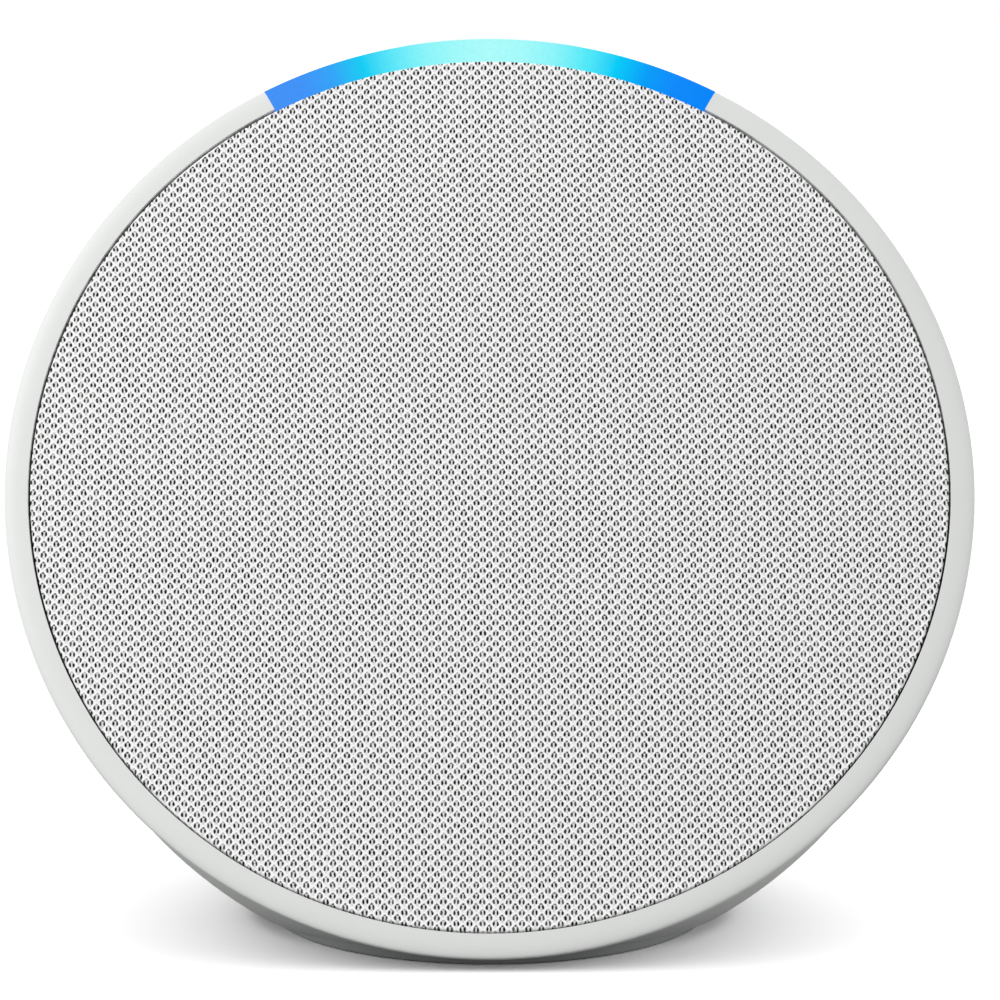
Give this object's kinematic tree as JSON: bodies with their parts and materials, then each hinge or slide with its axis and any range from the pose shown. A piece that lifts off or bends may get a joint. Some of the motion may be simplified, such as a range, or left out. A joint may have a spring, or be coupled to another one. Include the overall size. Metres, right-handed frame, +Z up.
{
  "type": "compact smart speaker",
  "caption": "Small domed smart speaker with a round fabric front that leans back, a light bar along the top of the rim, push keys and a rear power inlet.",
  "frame": {"origin": "on the table, under the middle of the object's bounding box", "axes": "+Z up, the fabric front faces -Y and leans back by 25 degrees, +X to the right of a person who stands in front"},
  "size_m": [0.099, 0.083, 0.091],
  "materials": {
    "shell": "fine satin texture, off-white",
    "light_bar": "diffusing lens, lit blue at the ends and cyan in the middle",
    "grille_cloth": "open diamond knit of white yarn",
    "grille_plastic": "matte moulded",
    "dark_plastic": "matte moulded",
    "keys": "satin",
    "foot_rubber": "matte",
    "black_rubber": "matte",
    "cone_paper": "pressed paper",
    "spider_cloth": "resin-stiffened cloth",
    "coil_copper": "enamelled copper wire",
    "ferrite": "sintered ferrite",
    "plated_steel": "zinc or nickel plated",
    "aluminium": "plain sheet",
    "circuit_board": "solder mask",
    "flex_board": "polyimide film",
    "led_package": "white package",
    "cable_jacket": "soft jacket"
  },
  "bodies": {
    "body": {"housing": "shell", "light_bar": "light_bar", "led_board": "circuit_board", "led_1": "led_package", "led_2": "led_package", "led_3": "led_package", "led_4": "led_package", "led_lead": "cable_jacket", "grille_cloth": "grille_cloth", "grille_plate": "grille_plastic", "front_baffle": "dark_plastic", "baffle_screw_1": "plated_steel", "baffle_screw_2": "plated_steel", "baffle_screw_3": "plated_steel", "baffle_screw_4": "plated_steel", "acoustic_chamber": "dark_plastic", "driver_gasket": "black_rubber", "driver_basket": "plated_steel", "driver_screw_1": "plated_steel", "driver_screw_2": "plated_steel", "driver_screw_3": "plated_steel", "driver_screw_4": "plated_steel", "driver_surround": "black_rubber", "driver_spider": "spider_cloth", "driver_top_plate": "plated_steel", "driver_magnet": "ferrite", "driver_yoke": "plated_steel", "speaker_lead": "cable_jacket", "main_board": "circuit_board", "shield_can": "plated_steel", "heat_spreader": "aluminium", "board_screw_1": "plated_steel", "board_screw_2": "plated_steel", "power_jack": "dark_plastic", "power_jack_pin": "plated_steel", "power_lead": "cable_jacket", "switch_body_microphone_off": "plated_steel", "switch_body_volume_down": "plated_steel", "switch_body_volume_up": "plated_steel", "microphone_left": "plated_steel", "microphone_right": "plated_steel", "microphone_gasket_left": "black_rubber", "microphone_gasket_right": "black_rubber", "button_flex": "flex_board", "switch_bracket": "dark_plastic", "base_plate": "shell", "base_screw_1": "plated_steel", "base_screw_2": "plated_steel", "base_screw_3": "plated_steel", "rubber_foot": "foot_rubber"},
    "cone": {"driver_cone": "cone_paper", "driver_dust_cap": "cone_paper", "driver_voice_coil": "coil_copper"},
    "microphone_off_key": {"key_microphone_off": "keys", "switch_plunger_microphone_off": "dark_plastic"},
    "volume_down_key": {"key_volume_down": "keys", "switch_plunger_volume_down": "dark_plastic"},
    "volume_up_key": {"key_volume_up": "keys", "switch_plunger_volume_up": "dark_plastic"}
  },
  "joints": [
    {"name": "cone_stroke", "type": "slide", "parent": "body", "child": "cone", "axis": [0, -0.9063, 0.4226], "range_m": [-0.0015, 0.0015], "stiffness_N_per_m": 1200, "deforming": ["driver_surround", "driver_spider"]},
    {"name": "microphone_off_press", "type": "slide", "parent": "body", "child": "microphone_off_key", "axis": [0.3251, -0.5932, -0.7365], "range_m": [0, 0.0003], "stiffness_N_per_m": 2500, "springref_m": -0.0003},
    {"name": "volume_down_press", "type": "slide", "parent": "body", "child": "volume_down_key", "axis": [0, -0.6168, -0.7871], "range_m": [0, 0.0003], "stiffness_N_per_m": 2500, "springref_m": -0.0003},
    {"name": "volume_up_press", "type": "slide", "parent": "body", "child": "volume_up_key", "axis": [-0.3251, -0.5932, -0.7365], "range_m": [0, 0.0003], "stiffness_N_per_m": 2500, "springref_m": -0.0003}
  ]
}
